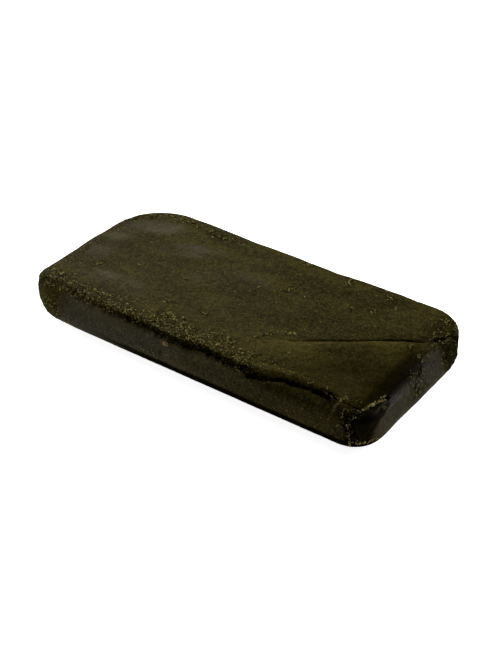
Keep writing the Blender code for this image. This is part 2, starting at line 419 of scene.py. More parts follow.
def sharpen_corner(points):
    """The left front corner is square at the top and tucked in at the foot."""
    x, y, z = points.T
    radius = CORNER_RADII[(LEFT, FRONT)]
    u, w = (LEFT + radius - x) / radius, (FRONT + radius - y) / radius
    corner = (u > 0) & (w > 0)
    squared = np.hypot(u, w) / np.maximum(np.maximum(u, w), 1e-6) - 1
    stretch = np.where(corner, squared * 0.75 * ramp(z, 1.5, 7.0), 0)
    points[:, 0] -= radius * u * stretch
    points[:, 1] -= radius * w * stretch
    near = np.exp(-(((x - LEFT) / 7) ** 2 + ((y - FRONT) / 7) ** 2)) * ramp(z, 4.0, 0.5)
    points[:, 0] += 0.5 * near
    points[:, 1] += 0.5 * near


def lean_sides(points):
    x, y, z = points.T
    height = np.clip((z - 1.5) / (TOP - 1.5), 0, 1)
    sharpen_corner(points)
    in_front = np.clip((FRONT + 5.5 - y) / 5.5, 0, 1)
    points[:, 1] += curve(x, FRONT_LEAN) * in_front * height**1.15
    at_end = np.clip((x - RIGHT + 4.5) / 4.5, 0, 1)
    end_height = np.clip((z - 3.4) / (TOP - 3.4), 0, 1)
    points[:, 0] -= curve(y, END_LEAN) * at_end * end_height
    at_rear = ramp(y, REAR - 10, REAR)
    hollow = curve(x, REAR_HOLLOW, 3.0)
    points[:, 1] -= hollow * at_rear * (0.4 + 0.6 * ramp(z, 2, 7))


lean_sides(points)
set_points(cake.data, points)
print("leaned the front, the end and the rear")

# %% [markdown]
# ## The lap
# The corner of the end ply was folded over the top and pressed in. Its edge, the crease, runs
# slanting across the top: it starts from nothing, gets a soft crest with a valley behind it, and
# ends as a real crack at the right end. In front of it the lap slopes down towards the corner.

# %% The lap
CREASE = [(4, -11.5), (9, -8.2), (13, -5.9), (20, -1.0), (25, 2.8), (30, 6.0), (RIGHT, 8.6)]
CREASE_SLANT = math.cos(math.radians(34))
CREASE_BLUR = 0.8
CREST_HEIGHT, CREST_REACH = 0.26, 1.8
VALLEY_DEPTH, VALLEY_REACH = 0.30, 1.0
LAP_SLOPE, END_DROP = 0.06, 0.5


def behind_crease(points):
    """Distance behind the crease. It is negative on the lap."""
    return (points[:, 1] - curve(points[:, 0], CREASE, CREASE_BLUR)) * CREASE_SLANT


def press_lap(points):
    x, y, z = points.T
    on_top = ramp(z, TOP - 2.5, TOP - 0.3)
    behind = behind_crease(points) + 0.12 * rough(points, 2.0, 3)
    starts = ramp(x, 8, 19)
    onto = np.maximum(-behind, 0) / CREST_REACH
    crest = CREST_HEIGHT * onto * np.exp(1 - onto)
    valley = -VALLEY_DEPTH * np.exp(-np.abs(behind) / VALLEY_REACH) * (behind > -0.1)
    slope = -LAP_SLOPE * np.clip(-behind - 1.5, 0, 10) * ramp(x, 8, 24)
    end_slope = -END_DROP * ramp(x, 28.5, 33.5) * ramp(-behind, -2, 3)
    points[:, 2] += on_top * (starts * (crest + valley) + slope + end_slope)


BROAD_WAVE, NARROW_WAVE, SIDE_BULGE = 0.20, 0.035, 0.16


def press_waves(points):
    """The soft waves that palms and a cloth leave on the top and the sides."""
    on_top = ramp(points[:, 2], TOP - 3, TOP - 0.3)
    slant = points @ np.array(((0.82, 0.57, 0), (-0.57, 0.82, 0), (0, 0, 1))).T
    broad = rough(slant, 9.0, 11, 2, (1.9, 0.8, 1.0))
    narrow = rough(slant, 3.5, 12, 2, (1.8, 0.8, 1.0))
    points[:, 2] += on_top * (BROAD_WAVE * broad + NARROW_WAVE * narrow)
    inside, nx, ny = outline_distance(points)
    at_side = ramp(inside, 3.0, 0.5) * ramp(points[:, 2], 0.3, 2.0)
    bulge = SIDE_BULGE * rough(points, 6.0, 13, 2) * at_side
    points[:, 0] += nx * bulge
    points[:, 1] += ny * bulge


points = get_points(cake.data)
press_lap(points)
press_waves(points)
set_points(cake.data, points)
print("lap and waves pressed")

# %% [markdown]
# ## A tool for grooves
# A groove is engraved along a path: every point near the path is pushed in, deepest on the path
# itself. A ragged groove has an edge that wanders, as torn resin does, and a fade lets it start
# and end softly.

# %% Engraving tool
def path_distance(points, path):
    """Distance to a path of straight runs, and how far along it (0 to 1) the nearest place is."""
    best = np.full(len(points), 1e9)
    along = np.zeros(len(points))
    path = np.array(path, float)
    runs = len(path) - 1
    for index in range(runs):
        start, step = path[index], path[index + 1] - path[index]
        t = np.clip((points - start) @ step / (step @ step), 0, 1)
        distance = np.linalg.norm(points - start - t[:, None] * step, axis=1)
        closer = distance < best
        best = np.where(closer, distance, best)
        along = np.where(closer, (index + t) / runs, along)
    return best, along


def engrave(points, path, width, depth, push, ragged, seed, fade=None):
    """Pushes the points near a path along a direction, by the depth."""
    centre = np.array(path, float).mean(0)
    reach = np.linalg.norm(np.array(path, float) - centre, axis=1).max() + width + 1
    near = np.linalg.norm(points - centre, axis=1) < reach
    some = points[near]
    wobble = ragged * (0.7 * rough(some, 1.6, seed) + 0.5 * rough(some, 0.6, seed))
    distance, along = path_distance(some, path)
    strength = ramp(distance + wobble, width / 2, width / 5)
    if fade:
        strength *= np.interp(along, *zip(*fade))
    points[near] += strength[:, None] * depth * np.array(push, float) / np.linalg.norm(push)


print("tool: engrave")

# %% [markdown]
# ## The groove under the lip
# The top leaf ends in a ragged lip that hangs over the front side, with a dark gap under it.
# Towards the right the gap turns into a narrow crevice that climbs onto the lap. The net is laid
# anew afterwards, because pushing has stretched its squares.

# %% The groove under the lip
LIP_GROOVE = [
    (-33.5, -14.0, 7.3),
    (-29, -14.3, 7.2),
    (-24, -14.8, 7.15),
    (-18, -15.3, 7.1),
    (-10, -15.4, 7.1),
    (-3, -15.9, 7.0),
    (1.5, -15.0, 7.05),
    (8, -15.5, 6.95),
    (14.5, -15.6, 6.9),
]
CREVICE = [
    (12, -16.0, 6.8),
    (14.5, -15.4, 6.85),
    (17.5, -14.5, 6.9),
    (20.6, -14.1, 6.9),
    (24, -13.8, 6.8),
    (26.2, -14.1, 6.7),
]
LIP_FADE = [(0, 0.0), (0.12, 0.05), (0.25, 0.3), (0.38, 0.35), (0.5, 0.8), (0.6, 1), (1, 1)]
points = get_points(cake.data)
back_and_down, down_and_back = (0.0, 1.0, -0.15), (0.0, 0.5, -0.85)
engrave(points, LIP_GROOVE, 1.5, 1.3, back_and_down, ragged=0.6, seed=21, fade=LIP_FADE)
engrave(points, CREVICE, 1.3, 1.1, down_and_back, ragged=0.4, seed=24)
set_points(cake.data, points)
print("second net:", remesh(cake, SECOND_NET), "squares")

# %% [markdown]
# ## The ridge and the cracks
# Resin that is pushed aside rises next to the crevice as a small ridge. The other marks are
# cracks: along the crease, down the right end, and round the torn fragment in the right front
# corner. Each crack is a path with a width and a depth, and it is pushed in towards the middle of
# the cake.

# %% Ridge and cracks
points = get_points(cake.data)
ridge = [(12, -14.6, 7.6), (16, -13.5, 7.4), (20, -12.9, 7.3), (24, -12.7, 7.2), (26.5, -13.2, 7.1)]
RIDGE_FADE = [(0, 0), (0.3, 1), (0.8, 1), (1, 0.3)]
engrave(points, ridge, 2.2, 0.32, (0, -0.3, 1), ragged=0.15, seed=22, fade=RIDGE_FADE)
crease_path = [
    (x, curve(np.array(float(x)), CREASE, CREASE_BLUR) + 0.1, TOP) for x in range(13, 33, 2)
]
CREASE_FADE = [(0, 0.1), (0.4, 0.7), (1, 1)]
engrave(points, crease_path, 0.8, 0.50, (0, 0, -1), ragged=0.1, seed=23, fade=CREASE_FADE)
CRACKS = {  # path, width, depth
    "rear corner": (
        [(32.2, 8.0, 7.4), (33.3, 9.5, 7.5), (34.2, 11.6, 7.2), (34.6, 12.6, 6.0)],
        1.0,
        0.8,
    ),
    "end seam": (
        [(32.0, 3.4, 7.1), (32.8, 2.6, 6.6), (33.4, 1.3, 6.1), (33.9, -0.5, 5.6),
         (34.4, -1.5, 4.8), (34.9, -1.2, 3.8)],
        0.5,
        0.12,
    ),
    "corner top": (
        [(29.4, -15.3, 6.4), (30.8, -15.6, 6.0), (31.5, -14.7, 6.1), (32.1, -12.2, 6.3),
         (32.6, -10.3, 6.3), (33.1, -8.3, 6.6)],
        0.9,
        0.7,
    ),
    "corner down": (
        [(26.2, -14.1, 6.7), (27.9, -14.9, 6.4), (29.4, -15.4, 6.2), (30.4, -15.9, 5.7),
         (31.0, -16.5, 4.9), (31.3, -16.9, 3.8), (31.5, -16.9, 2.5), (31.4, -16.4, 1.0)],
        0.8,
        0.9,
    ),
    "fragment rear": (
        [(24.5, -13.6, 7.3), (26.1, -13.4, 7.2), (27.8, -13.7, 7.0), (29.5, -14.0, 6.9),
         (31.2, -13.9, 6.6)],
        0.8,
        0.6,
    ),
    "corner split": (
        [(30.9, -15.6, 5.9), (31.8, -16.2, 5.1), (32.6, -16.1, 3.7), (32.8, -16.0, 2.7)],
        0.6,
        0.5,
    ),
}
for number, (path, width, depth) in enumerate(CRACKS.values()):
    inward = np.array((0, 0, 3.0)) - np.mean(path, axis=0)
    inward[:2] = inward[:2] / np.linalg.norm(inward[:2]) * 2.5
    inward[2] = -1.5
    engrave(points, path, width, depth, inward, ragged=0.35, seed=30 + number)
set_points(cake.data, points)
print("engraved", len(CRACKS), "cracks")

# %% [markdown]
# ## Where it crumbles
# The sheet was kneaded from sifted grain, and it crumbles where it was stretched or torn: along
# the lip, round the corners and in a few patches. Each patch is an ellipse: its centre, its half
# length and half width, its turn in degrees and its strength. The same map later steers colour,
# bumps and loose crumbs.

# %% Map of the crumbly places
TOP_PATCHES = [
    (-29, -12.6, 5.5, 1.1, -10, 0.8),
    (-22, -13.2, 6.5, 1.2, -6, 0.55),
    (-18, -11.8, 5.5, 1.2, 3, 0.35),
    (-13.5, -13.6, 4.0, 1.6, -8, 0.6),
    (-7, -12.6, 4.5, 2.9, 5, 0.8),
    (-1, -13.6, 6.0, 2.3, 0, 0.95),
    (4, -12.4, 4.0, 2.4, -20, 0.8),
    (9, -13.7, 5.0, 1.8, -5, 0.6),
    (15, -12.5, 6.0, 1.0, -10, 0.35),
    (29.5, -12.4, 2.8, 1.2, -10, 0.5),
    (-33.2, -2, 0.9, 11, 0, 0.3),
    (-31.5, 12.0, 6.5, 1.2, 48, 0.55),
    (-24, 15.2, 4.5, 1.2, -5, 0.65),
    (-17, 14.6, 3.5, 1.4, -10, 0.6),
    (-12, 14.6, 2.2, 0.9, -15, 0.6),
    (2.8, 15.6, 1.6, 0.7, 0, 0.8),
    (11.6, 14.6, 1.0, 1.2, 20, 0.75),
    (20, 14.6, 1.6, 0.7, -20, 0.5),
    (22.4, 12.6, 0.9, 0.5, -20, 0.7),
    (31, 13.2, 2.6, 2.6, -60, 0.6),
    (32.6, 9.2, 1.0, 2.0, -20, 0.7),
    (30.0, 4.0, 0.9, 0.7, 20, 0.75),
    (9.6, -5.3, 1.0, 0.5, 25, 0.9),
    (8.6, -7.2, 1.3, 0.45, 55, 0.9),
    (11.8, -4.0, 1.6, 0.8, 35, 0.35),
    (14.9, -8.9, 0.6, 0.35, 20, 0.8),
    (-12.0, -1.0, 0.6, 0.4, -20, 1.0),
    (-21.8, -2.0, 0.9, 0.4, 10, 0.9),
    (-28.2, -5.8, 0.9, 0.4, 0, 0.6),
    (-31.4, -7.5, 0.7, 0.5, 0, 0.6),
    (-10.4, -8.4, 0.8, 0.6, 0, 0.8),
    (-3.1, -7.6, 0.8, 0.4, 0, 0.8),
    (4.5, 7.6, 0.9, 0.8, 10, 0.5),
    (4.2, 6.3, 1.0, 0.5, 40, 0.6),
    (8.1, 6.6, 0.5, 0.3, 0, 0.5),
    (10.8, 6.4, 0.6, 0.5, 0, 0.55),
    (-0.3, 3.8, 0.4, 1.5, 0, 0.4),
    (4.5, 1.9, 0.7, 0.3, 0, 0.7),
    (15.8, 8.4, 1.6, 0.7, -20, 0.55),
    (20.0, 9.6, 1.6, 0.9, 0, 0.4),
]


def in_patches(points, patches):
    x, y = points[:, 0], points[:, 1]
    found = np.zeros(len(points))
    for centre_x, centre_y, length, width, turn, strength in patches:
        c, s = math.cos(math.radians(turn)), math.sin(math.radians(turn))
        u = ((x - centre_x) * c + (y - centre_y) * s) / length
        v = (-(x - centre_x) * s + (y - centre_y) * c) / width
        found = np.maximum(found, strength * ramp(np.hypot(u, v), 1.25, 0.45))
    return found


def crumbliness(points):
    """From 0, pressed smooth, to 1, loose grain."""
    x, y, z = points.T
    on_top = ramp(z, TOP - 1.6, TOP - 0.7)
    crumbly = in_patches(points, TOP_PATCHES) * on_top
    left_corner = ramp(x, -26.5, -30.5) * ramp(y, -9, -12) * (0.35 + 0.4 * ramp(z, 4.5, 2.0))
    rear_corner = ramp(y, 5.5, 8.5) * ramp(x, 30, 33) * 0.65
    end_patch = np.exp(-(((y + 0.6 - 0.3 * (z - 4)) / 2.4) ** 2))
    end_patch = end_patch * ramp(x, 32.2, 33.0) * ramp(z, 2.2, 4.0) * 0.9
    corner = np.exp(-(((x - 30.5) / 2.6) ** 2 + ((y + 15.4) / 2.0) ** 2)) * 0.5
    low_front = np.exp(-(((x + 6.5) / 3.2) ** 2 + ((z - 3.4) / 1.1) ** 2)) * ramp(y, -12, -15) * 0.5
    lip = ramp(y, -12, -15) * ramp(z, 6.2, 6.9) * ramp(x, 16, 9) * 0.7
    for part in (left_corner, rear_corner, end_patch, corner, low_front, lip):
        crumbly = np.maximum(crumbly, part)
    broken = 0.7 + 0.9 * rough(points, 1.5, 41, 3)
    return np.clip(crumbly * broken, 0, 1)


crumbly = crumbliness(get_points(cake.data))
print(f"{100 * np.mean(crumbly > 0.3):.0f}% of the skin is crumbly")

# %% [markdown]
# ## The grain of the skin
# Last, every point is moved a little along its normal: very finely where the resin was pressed
# smooth, and coarsely where it crumbles.

# %% Grain
points, normals = get_points(cake.data), get_normals(cake.data)
FINE, COARSE, LUMPS = 0.024, 0.17, 0.12
fine = FINE * rough(points, 0.7, 51, 2)
coarse = COARSE * rough(points, 0.55, 52, 2) + LUMPS * rough(points, 1.3, 53)
above_floor = ramp(points[:, 2], 0.2, 1.2)
points += normals * (above_floor * (fine + crumbly * coarse))[:, None]
points[:, 2] = np.maximum(points[:, 2], FLOOR)
set_points(cake.data, points)
print("grain added")

# %% [markdown]
# ## Cutting the plies apart
# The skin was modelled in one go so that it runs on unbroken where the plies are pressed
# together. Now it is cut into the real pieces. Each cut is a Boolean with a prism that follows
# the seams of the solids, so that every piece is closed and stands for the solid of the same
# name.

# %% Prisms along the seams
SEAM = 6.65
CREASE_CUT = [(-3.0, FRONT - 6), (1.0, -13.6)] + [
    (x, float(curve(np.array(x), CREASE, CREASE_BLUR))) for x in np.arange(4.0, 32.1, 2.0)
]
END_INNER, END_FRONT, END_REAR = 32.4, -2.6, 8.0


def prism(name, outline, bottom, top):
    form = bmesh.new()
    base = form.faces.new([form.verts.new((x * MM, y * MM, bottom * MM)) for x, y in outline])
    raised = bmesh.ops.extrude_face_region(form, geom=[base])["geom"]
    lifted = [part for part in raised if isinstance(part, bmesh.types.BMVert)]
    bmesh.ops.translate(form, vec=(0, 0, (top - bottom) * MM), verts=lifted)
    bmesh.ops.recalc_face_normals(form, faces=form.faces)
    return new_object(name, form)


def piece_of(source, name, cutters):
    """A closed copy of the source after (operation, prism) cuts."""
    made = bpy.data.objects.new(name, source.data)
    bpy.context.scene.collection.objects.link(made)
    for operation, cutter in cutters:
        knife = made.modifiers.new(cutter.name, "BOOLEAN")
        knife.operation, knife.solver, knife.object = operation, "MANIFOLD", cutter
    graph = bpy.context.evaluated_depsgraph_get()
    made.data = bpy.data.meshes.new_from_object(made.evaluated_get(graph))
    made.modifiers.clear()
    return made


def rectangle(x0, x1, y0, y1):
    return [(x0, y0), (x1, y0), (x1, y1), (x0, y1)]


FAR, UNDER, OVER = 45.0, -5, 15
end_room = prism("end_room", rectangle(END_INNER, FAR, END_FRONT, END_REAR), UNDER, OVER)
end_wall = prism("end_wall_room", rectangle(END_INNER, FAR, -25, END_FRONT), UNDER, SEAM)
corner_room = prism("corner_room", [(-22, -24.2), (-41, -2.5), (-50, -30)], 1.2, SEAM)
fragment_outline = [(26.3, -25), (26.3, -14.4), (END_INNER, -14.0), (END_INNER, -25)]
fragment_room = prism("fragment_room", fragment_outline, 5.4, OVER)
rear_outline = CREASE_CUT + [(FAR, END_REAR), (FAR, FAR), (-FAR, FAR), (-FAR, FRONT - 6)]
behind = prism("behind_room", rear_outline, SEAM, OVER)
ahead = prism("ahead_room", CREASE_CUT + [(FAR, END_REAR), (FAR, FRONT - 6)], SEAM, OVER)
above = prism("above_room", rectangle(-FAR, FAR, -FAR, FAR), SEAM, OVER)

CUTS = {
    "top_leaf": [("INTERSECT", behind), ("DIFFERENCE", end_room), ("DIFFERENCE", fragment_room)],
    "rear_end_tuck": [("INTERSECT", end_room)],
    "left_corner_tuck": [("INTERSECT", corner_room)],
    "corner_fragment": [("INTERSECT", fragment_room)],
    "slab_body": [
        ("DIFFERENCE", above),
        ("DIFFERENCE", end_room),
        ("DIFFERENCE", end_wall),
        ("DIFFERENCE", corner_room),
        ("DIFFERENCE", fragment_room),
    ],
}
made = {name: piece_of(cake, name + "_skin", cuts) for name, cuts in CUTS.items()}
lap_and_wall = piece_of(ahead, "lap_and_wall", [("UNION", end_wall)])
made["end_leaf"] = piece_of(
    cake,
    "end_leaf_skin",
    [("INTERSECT", lap_and_wall), ("DIFFERENCE", end_room), ("DIFFERENCE", fragment_room)],
)
whole_skin = BVHTree.FromPolygons(
    [v.co.copy() for v in cake.data.vertices], [p.vertices[:] for p in cake.data.polygons]
)
rooms = (end_room, corner_room, fragment_room, behind, ahead, end_wall, above)
for helper in (cake, lap_and_wall, *rooms):
    bpy.data.objects.remove(helper, do_unlink=True)
for name, piece in made.items():
    print(name, len(piece.data.polygons), "faces")

# %% [markdown]
# ## Loose crumbs
# Hundreds of crumbs cling to the crumbly places. One crumb is a small pebble of twenty faces,
# made uneven at random, flattened, and sunk about halfway into the skin. Rays dropped at random
# find the places, and the map of the crumbly places decides which are kept. A fixed seed keeps
# every crumb where it is.

# %% Loose crumbs
random.seed(7)
FLATNESS = 0.65
CRUMB_LIFT, STRING_LIFT = 0.1, 0.15


def crumb_form(form, centre, normal, size):
    """Adds one pebble that lies flat on the skin."""
    pebble = bmesh.ops.create_icosphere(form, subdivisions=1, radius=size / 2)["verts"]
    turn = Vector((0, 0, 1)).rotation_difference(normal)
    for vert in pebble:
        vert.co *= random.uniform(0.7, 1.15)
        vert.co.z *= FLATNESS
        vert.co = turn @ vert.co + centre


def sprinkle(name, count, spot, sizes, threshold):
    """Drops crumbs along random rays onto the skin, and keeps those in crumbly places."""
    form = bmesh.new()
    kept = 0
    for _ in range(count):
        start, direction = spot()
        place, normal, _, _ = whole_skin.ray_cast(start * MM, direction)
        if place is None:
            continue
        here = crumbliness_at(place)
        if here < threshold + 0.35 * random.random():
            continue
        size = random.triangular(*sizes) * (0.7 + 0.5 * here)
        crumb_form(form, place + normal * size * CRUMB_LIFT * MM, normal, size * MM)
        kept += 1
    print(name, kept, "crumbs")
    return new_object(name, form)


def crumbliness_at(place):
    return float(crumbliness(np.array([place]) * 1000)[0])


def above_spot():
    start = Vector((random.uniform(LEFT, RIGHT), random.uniform(FRONT, REAR), 20))
    return start, Vector((0, 0, -1))


def front_spot():
    start = Vector((random.uniform(LEFT, RIGHT), FRONT - 10, random.uniform(1, TOP)))
    return start, Vector((0, 1, 0.05))


def end_spot():
    start = Vector((RIGHT + 10, random.uniform(FRONT, REAR), random.uniform(1, TOP)))
    return start, Vector((-1, 0, 0))


crumbs = {
    "top_crumbs": sprinkle("top_crumbs", 12000, above_spot, (0.09, 0.32, 0.11), 0.27),
    "front_crumbs": sprinkle("front_crumbs", 2500, front_spot, (0.12, 0.35, 0.18), 0.35),
    "end_crumbs": sprinkle("end_crumbs", 900, end_spot, (0.1, 0.28, 0.13), 0.5),
}

# %% [markdown]
# ## Crumbs along the cracks and the lip
# Along a torn edge crumbs lie in strings, and on the top a few lie in small heaps. Each string
# has a path, a number of crumbs, how far they stray from the path, and the size of the largest.

# %% Crumbs along the cracks
CRUMB_LINES = [
    ([(31.4, -14.9, 6.0), (32.1, -12.1, 6.6)], 30, 0.14, 0.34),
    ([(32.1, -12.1, 6.6), (32.5, -10.3, 6.7), (33.0, -8.3, 6.8)], 70, 0.17, 0.42),
    ([(29.4, -15.2, 6.3), (30.8, -15.5, 5.9), (31.3, -16.6, 3.8)], 36, 0.2, 0.3),
    ([(31.3, -16.6, 3.8), (31.5, -16.7, 2.5), (31.4, -16.6, 1.4)], 34, 0.12, 0.28),
    ([(24.5, -12.8, 7.0), (26.1, -13.3, 6.9), (28.3, -13.6, 6.8)], 36, 0.2, 0.3),
    ([(30.6, -14.1, 6.4), (31.2, -13.8, 6.3)], 10, 0.12, 0.35),
    (
        [(31.7, -16.0, 2.6), (33.1, -15.9, 2.4), (34.4, -14.1, 2.6), (35.0, -11.5, 2.6)],
        60,
        0.2,
        0.3,
    ),
    ([(31.9, 3.4, 7.1), (32.7, 2.7, 6.6)], 20, 0.14, 0.36),
    ([(32.7, 2.7, 6.6), (33.8, -0.5, 5.6), (34.8, -1.2, 3.9)], 16, 0.3, 0.22),
    ([(32.2, 8.0, 7.4), (33.3, 9.5, 7.5), (34.2, 11.6, 7.2)], 22, 0.3, 0.3),
    ([(-12.3, -1.0, TOP), (-11.8, -0.9, TOP)], 5, 0.1, 0.6),
    ([(-22.4, -2.1, TOP), (-21.3, -1.9, TOP)], 8, 0.1, 0.42),
    ([(-28.8, -5.9, TOP), (-27.6, -5.7, TOP)], 8, 0.15, 0.38),
    ([(-10.8, -8.3, TOP), (-9.4, -7.7, TOP)], 10, 0.25, 0.4),
    ([(-3.6, -7.7, TOP), (-2.6, -7.5, TOP)], 6, 0.15, 0.4),
    ([(9.0, -5.7, TOP), (9.7, -5.2, TOP), (10.4, -4.9, TOP)], 12, 0.26, 0.36),
    ([(8.0, -8.0, TOP), (8.5, -7.0, TOP), (9.2, -6.4, TOP)], 12, 0.26, 0.36),
    ([(3.9, 7.9, TOP), (5.0, 7.4, TOP)], 8, 0.2, 0.3),
    ([(3.4, 5.8, TOP), (4.8, 6.8, TOP)], 9, 0.15, 0.32),
    ([(14.6, 8.5, TOP), (16.9, 8.0, TOP)], 10, 0.25, 0.3),
    ([(29.5, 4.0, TOP), (30.4, 4.1, TOP)], 12, 0.25, 0.42),
    ([(-0.3, 5.0, TOP), (-0.2, 2.6, TOP)], 7, 0.12, 0.26),
    ([(14.6, -9.0, TOP), (15.2, -8.8, TOP)], 5, 0.12, 0.36),
    ([(4.0, 1.9, TOP), (5.0, 2.0, TOP)], 6, 0.1, 0.26),
    ([(22.0, 12.5, TOP), (22.9, 12.8, TOP)], 6, 0.12, 0.32),
    ([(2.2, 15.5, TOP), (3.6, 15.7, TOP)], 12, 0.2, 0.34),
]
LIP_EDGE = [
    ([(-33, -13.7, 7.8), (-26, -14.1, 7.8), (-18, -14.7, 7.7)], 150, 0.35, 0.26),
    ([(-18, -14.7, 7.7), (-10, -14.7, 7.6), (-3, -15.2, 7.5)], 210, 0.4, 0.3),
    ([(-3, -15.2, 7.5), (1.5, -14.3, 7.6), (6, -14.6, 7.6), (12, -15.1, 7.5)], 210, 0.4, 0.3),
    ([(12, -15.2, 7.5), (18, -13.2, 7.5), (25, -12.9, 7.4)], 60, 0.35, 0.22),
]


def crumb_lines(name, lines):
    form = bmesh.new()
    for path, count, spread, size in lines:
        for _ in range(count):
            along = random.random() * (len(path) - 1)
            run = min(int(along), len(path) - 2)
            spot = Vector(path[run]).lerp(Vector(path[run + 1]), along - run)
            spot += Vector([random.gauss(0, spread) for _ in range(3)])
            place, normal, _, _ = whole_skin.find_nearest(spot * MM)
            grain = size * random.uniform(0.4, 1.0)
            crumb_form(form, place + normal * grain * STRING_LIFT * MM, normal, grain * MM)
    return new_object(name, form)


crumbs["crack_crumbs"] = crumb_lines("crack_crumbs", CRUMB_LINES)
crumbs["lip_edge_crumbs"] = crumb_lines("lip_edge_crumbs", LIP_EDGE)
print(len(CRUMB_LINES) + len(LIP_EDGE), "strings of crumbs")

# %% [markdown]
# ## Two large crumbs
# Two crumbs are large enough to have solids of their own. Each becomes a fine ball, made lumpy by
# a noise pattern, stretched to the size of its solid and seated on the skin.

# %% Two large crumbs
LUMPINESS, SEATING = 0.35, 0.12


def large_crumb(name, node, seed):
    """A lumpy crumb in the place of its solid, sunk a little into the skin beside it."""
    lowest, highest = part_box(node)
    place, normal, _, _ = whole_skin.find_nearest((lowest + highest) / 2)
    seat = place + normal * SEATING * (highest - lowest).length / 2
    form = bmesh.new()
    bmesh.ops.create_icosphere(form, subdivisions=4, radius=0.5)
    for vert in form.verts:
        lump = noise.fractal(vert.co * 3 + Vector((seed, 0, 0)), 1.0, 2.0, 3)
        vert.co *= 1 + LUMPINESS * lump
    bmesh.ops.scale(form, vec=highest - lowest, verts=form.verts)
    bmesh.ops.translate(form, vec=seat, verts=form.verts)
    return new_object(name, form)


made["lip_crumb"] = large_crumb("lip_crumb_skin", "lip_crumb", 3)
made["corner_crumb"] = large_crumb("corner_crumb_skin", "corner_crumb", 8)
print("the lip crumb and the corner crumb are seated")

# %% [markdown]
# ## Maps for the paint
# The paint needs to know where the skin crumbles, where it was pressed smooth and shiny, with a
# grey reflection painted in, where shade is painted, and where a grey sheen is painted on the top.
# Each of these four maps is stored at the points of every piece as a named attribute, which a
# material can read. Painted shade is drawn place by place: under the lip, in the cracks, on the
# slope of the lap, and where the front side curves in to meet the table.


# %% Store the maps
def polish(points):
    """From 0 to 1: the parts of the front side and the right end that were pressed shiny, where a
    grey reflection is also painted into the colour.
    """
    x, y, z = points.T
    front = ramp(y, -13, -14.5) * ramp(x, -30, -26) * ramp(x, 16, -14) * ramp(z, 7.2, 6.2)
    end = ramp(x, 31.5, 32.8) * ramp(y, 7.6, 6.6) * ramp(y, -15.5, -13) * ramp(z, 7.6, 6.9)
    return np.maximum(front, end)


def near_path(points, path, near, far):
    """1 within the near distance of a path, 0 beyond the far one, with a ragged border."""
    ragged = 0.6 * far * rough(points, 0.5, 71, 2)
    return ramp(path_distance(points, path)[0] + ragged, far, near)


def shade(points):
    """From 0 to 1: painted shade, how much of the resin's tone is left where shade falls on it."""
    x, y, z = points.T
    tone = np.ones(len(points))

    # painted shade on the slope of the lap, down to the right end, which turns away from the light
    end_slope = ramp(x, 29.5, 31.5) * ramp(y, 5.0, 2.0) * ramp(y, -16.5, -14.5) * ramp(z, 5.6, 6.2)
    tone *= 1 - 0.68 * end_slope * ramp(x, 33.6, 33.1)

    # painted shade in the black hollow in the right front corner, which faces away from the lamps
    border = np.interp(z, (2.5, 4.1, 5.4, 5.9), (-14.6, -14.1, -12.3, -8.3))
    painted_corner_shade = ramp(x, 31.0, 31.5) * ramp(y, border + 0.5, border - 0.5) * ramp(z, 6.5, 6.1)
    tone *= 1 - 0.8 * painted_corner_shade

    # painted shade on the right half of the front side and on all sides, and a painted contact
    # shadow where the front meets the table
    tone *= 1 - 0.35 * ramp(x, 2, 16) * ramp(y, -13, -15) * ramp(z, 6.6, 6.0)
    tone *= 1 - (0.08 + 0.14 * ramp(x, 28, 31)) * ramp(z, 6.8, 6.2)
    tone *= 1 - 0.95 * ramp(z, 2.9, 2.4) * ramp(x, -27, -8) * ramp(y, -11, -14)

    # painted shade in the gap under the lip, on the lap where it lies away from its crease, and in
    # the crevice
    shade_under_lip = near_path(points, LIP_GROOVE[2:], 0.35, 0.95)
    tone *= 1 - 0.8 * shade_under_lip * ramp(z, 7.7, 7.4) * ramp(x, -26, -12)
    shaded_lap = ramp(behind_crease(points), -2, -8)
    tone *= 1 - 0.45 * shaded_lap * ramp(x, 12, 24) * ramp(z, 5.5, 6.2)
    tone *= 1 - 0.7 * near_path(points, CREVICE[1:], 0.3, 0.8)

    # soft painted shade round the torn corner, along the crease and over the rear corner
    tone *= 1 - 0.5 * near_path(points, CRACKS["corner down"][0], 0.6, 1.5)
    tone *= 1 - 0.5 * near_path(points, crease_path, 0.1, 0.45) * ramp(x, 12, 20)
    tone *= 1 - 0.6 * ramp(y, 7, 8.5) * ramp(x, 31.5, 33) * ramp(z, 7.5, 6.9)
    tone *= 1 - 0.3 * ramp(y, 7.5, 10) * ramp(x, 28.5, 31)

    # painted shade in the pits between the crumbs, and in the cracks
    tone *= 1 - 0.55 * ramp(rough(points, 0.5, 81, 2), 0.0, 0.35) * crumbliness(points)
    for path, width, _ in CRACKS.values():
        tone *= 1 - 0.8 * near_path(points, path, 0.2 * width, 0.55 * width)
    return tone


# patches where a grey sheen is painted on the top
TOP_SHEEN_PATCHES = [
    (-28, 10, 6, 2.5, 25, 0.9),
    (-17, 7, 6, 2.5, 25, 0.7),
    (-22, -8.5, 7, 2.6, 5, 0.7),
    (-31, 0, 3, 8, 0, 0.6),
    (-6, 3, 8, 3, 30, 0.35),
]


def veil(points):
    """From 0 to 1: a grey sheen painted on the top."""
    on_top = ramp(points[:, 2], TOP - 1.2, TOP - 0.6)
    return in_patches(points, TOP_SHEEN_PATCHES) * on_top * (0.7 + 0.5 * rough(points, 2.5, 61, 2))


def store(thing, name, values):
    layer = thing.data.attributes.new(name, "FLOAT", "POINT")
    layer.data.foreach_set("value", values.astype(np.float32))


for piece in made.values():
    points = get_points(piece.data)
    store(piece, "crumbly", crumbliness(points))
    store(piece, "polish", polish(points))
    store(piece, "shade", shade(points))
    store(piece, "veil", veil(points))
    piece.data.shade_smooth()
print("maps stored on", len(made), "pieces")
